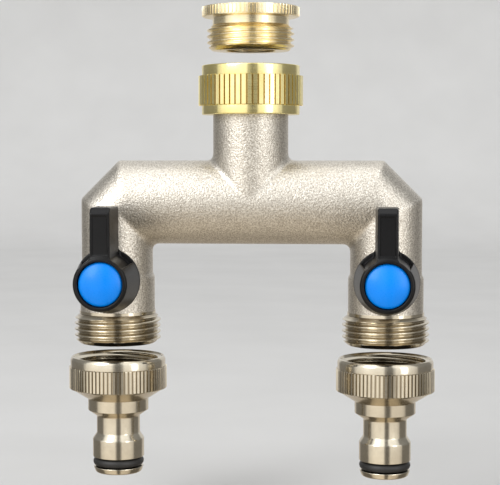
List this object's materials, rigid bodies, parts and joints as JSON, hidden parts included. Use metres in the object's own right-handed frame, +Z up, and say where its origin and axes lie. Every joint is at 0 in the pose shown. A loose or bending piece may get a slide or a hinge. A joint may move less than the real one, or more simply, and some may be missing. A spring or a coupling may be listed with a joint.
{
  "type": "hose splitter",
  "caption": "Tap splitter: cast manifold with an inlet nut and threaded adapter, a lever ball valve on each leg, and a quick-coupling hose connector below each outlet.",
  "frame": {"origin": "centre of the tap adapter's top face, where the tap's thread enters", "axes": "+Z up along the inlet, towards the tap; +X from the left outlet to the right one; -Y towards the valve handles"},
  "size_m": [0.1122, 0.048, 0.1425],
  "materials": {
    "cast_nickel": "blasted nickel plate on cast brass",
    "turned_nickel": "polished nickel plate on turned brass",
    "bright_brass": "turned brass",
    "pale_brass": "turned brass, paler",
    "black_plastic": "satin moulded",
    "blue_plastic": "glossy moulded",
    "rubber": "moulded",
    "seat_white": "machined",
    "chrome": "polished",
    "steel": "drawn wire and screws"
  },
  "bodies": {
    "manifold": {"manifold_body": "cast_nickel", "nut_retaining_ring": "steel", "inlet_washer": "rubber", "left_upper_seat": "seat_white", "left_lower_seat": "seat_white", "left_seat_retainer": "bright_brass", "right_upper_seat": "seat_white", "right_lower_seat": "seat_white", "right_seat_retainer": "bright_brass"},
    "nut": {"union_nut": "bright_brass"},
    "adapter_seal": {"adapter_washer": "rubber"},
    "adapter": {"tap_adapter": "pale_brass"},
    "left_valve": {"left_ball": "chrome", "left_stem": "bright_brass", "left_stem_seals": "rubber", "left_thrust_washer": "seat_white", "left_handle": "black_plastic", "left_handle_screw": "steel", "left_handle_cap": "blue_plastic"},
    "left_connector_seal": {"left_connector_washer": "rubber"},
    "left_connector": {"left_hose_connector": "turned_nickel", "left_spigot_oring": "rubber"},
    "right_valve": {"right_ball": "chrome", "right_stem": "bright_brass", "right_stem_seals": "rubber", "right_thrust_washer": "seat_white", "right_handle": "black_plastic", "right_handle_screw": "steel", "right_handle_cap": "blue_plastic"},
    "right_connector_seal": {"right_connector_washer": "rubber"},
    "right_connector": {"right_hose_connector": "turned_nickel", "right_spigot_oring": "rubber"}
  },
  "joints": [
    {"name": "nut_swivel", "type": "hinge", "parent": "manifold", "child": "nut", "pos_m": [0, 0, -0.025], "axis": [0, 0, 1], "continuous": true},
    {"name": "adapter_travel", "type": "slide", "parent": "nut", "child": "adapter_seal", "axis": [0, 0, -1], "range_m": [0, 0.0114]},
    {"name": "adapter_screw", "type": "hinge", "parent": "adapter_seal", "child": "adapter", "pos_m": [0, 0, -0.007], "axis": [0, 0, -1], "range_deg": [0, 2260]},
    {"name": "left_valve_turn", "type": "hinge", "parent": "manifold", "child": "left_valve", "pos_m": [-0.0411, 0, -0.08175], "axis": [0, 1, 0], "range_deg": [0, 90]},
    {"name": "left_connector_travel", "type": "slide", "parent": "manifold", "child": "left_connector_seal", "axis": [0, 0, 1], "range_m": [0, 0.0113]},
    {"name": "left_connector_screw", "type": "hinge", "parent": "left_connector_seal", "child": "left_connector", "pos_m": [-0.0411, 0, -0.11145], "axis": [0, 0, 1], "range_deg": [0, 2240]},
    {"name": "right_valve_turn", "type": "hinge", "parent": "manifold", "child": "right_valve", "pos_m": [0.0411, 0, -0.08175], "axis": [0, 1, 0], "range_deg": [0, 90]},
    {"name": "right_connector_travel", "type": "slide", "parent": "manifold", "child": "right_connector_seal", "axis": [0, 0, 1], "range_m": [0, 0.0113]},
    {"name": "right_connector_screw", "type": "hinge", "parent": "right_connector_seal", "child": "right_connector", "pos_m": [0.0411, 0, -0.11145], "axis": [0, 0, 1], "range_deg": [0, 2240]}
  ],
  "couplings": [
    {"joint": "adapter_travel", "follows": "adapter_screw", "m_per_rad": 0.00028871},
    {"joint": "left_connector_travel", "follows": "left_connector_screw", "m_per_rad": 0.00028871},
    {"joint": "right_connector_travel", "follows": "right_connector_screw", "m_per_rad": 0.00028871}
  ]
}
